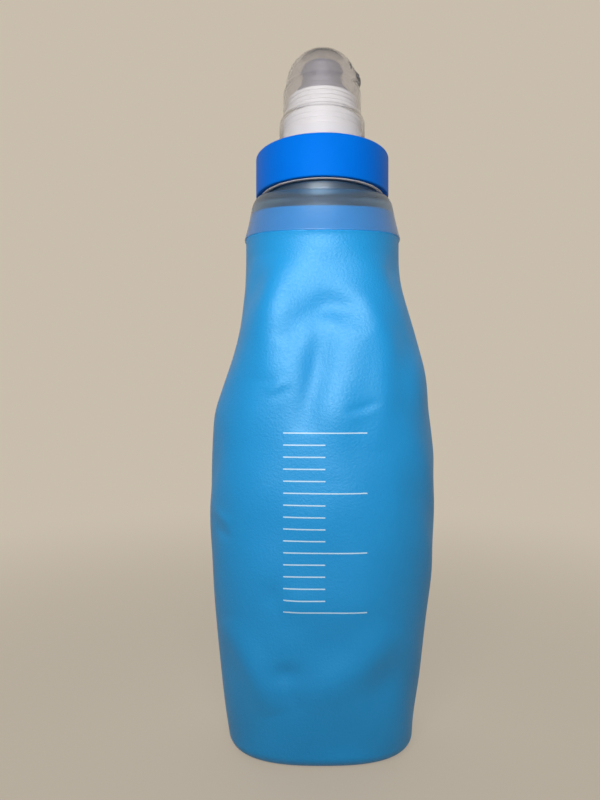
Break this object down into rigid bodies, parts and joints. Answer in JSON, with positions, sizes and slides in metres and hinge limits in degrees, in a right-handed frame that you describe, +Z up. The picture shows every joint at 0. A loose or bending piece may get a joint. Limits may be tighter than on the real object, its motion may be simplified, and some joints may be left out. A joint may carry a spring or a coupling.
{
  "type": "folding water bottle",
  "caption": "Soft water bottle with a welded oval film body that folds down, a clear moulded neck and a screw cap with a push-pull spout under a clear pull-off dome.",
  "frame": {"origin": "middle of the base oval, on the surface the bottle stands on", "axes": "+Z up the bottle's axis to the spout, +X across the width to the right, the front faces -Y"},
  "size_m": [0.0846, 0.06, 0.2594],
  "materials": {
    "film": "satin soft film with a fine grain",
    "clear_neck": "glossy clear moulding",
    "silicone": "matte silicone",
    "cap_blue": "satin moulded plastic",
    "cap_white": "satin moulded plastic",
    "spout_frosted": "translucent soft plastic",
    "cover_clear": "clear moulded plastic"
  },
  "bodies": {
    "flask": {"front_panel": "film", "rear_panel": "film", "base_panel": "film"},
    "neck": {"neck_collar": "clear_neck"},
    "cap_seal": {"cap_gasket": "silicone"},
    "cap": {"cap_ring": "cap_blue", "cap_body": "cap_white", "spout_seal": "silicone"},
    "spout": {"spout": "spout_frosted"},
    "cover": {"dust_cover": "cover_clear"}
  },
  "joints": [
    {"name": "fold_down", "type": "slide", "parent": "flask", "child": "neck", "axis": [0, 0, -1], "range_m": [0, 0.12], "deforming": ["front_panel", "rear_panel"]},
    {"name": "cap_rise", "type": "slide", "parent": "neck", "child": "cap_seal", "axis": [0, 0, 1], "range_m": [0, 0.006]},
    {"name": "cap_turn", "type": "hinge", "parent": "cap_seal", "child": "cap", "pos_m": [0, 0, 0.2], "axis": [0, 0, 1], "range_deg": [0, 540]},
    {"name": "spout_pull", "type": "slide", "parent": "cap", "child": "spout", "axis": [0, 0, 1], "range_m": [0, 0.003]},
    {"name": "cover_pull", "type": "slide", "parent": "cap", "child": "cover", "axis": [0, 0, 1], "range_m": [0, 0.05]}
  ],
  "couplings": [
    {"joint": "cap_rise", "follows": "cap_turn", "m_per_rad": 0.00063662}
  ]
}
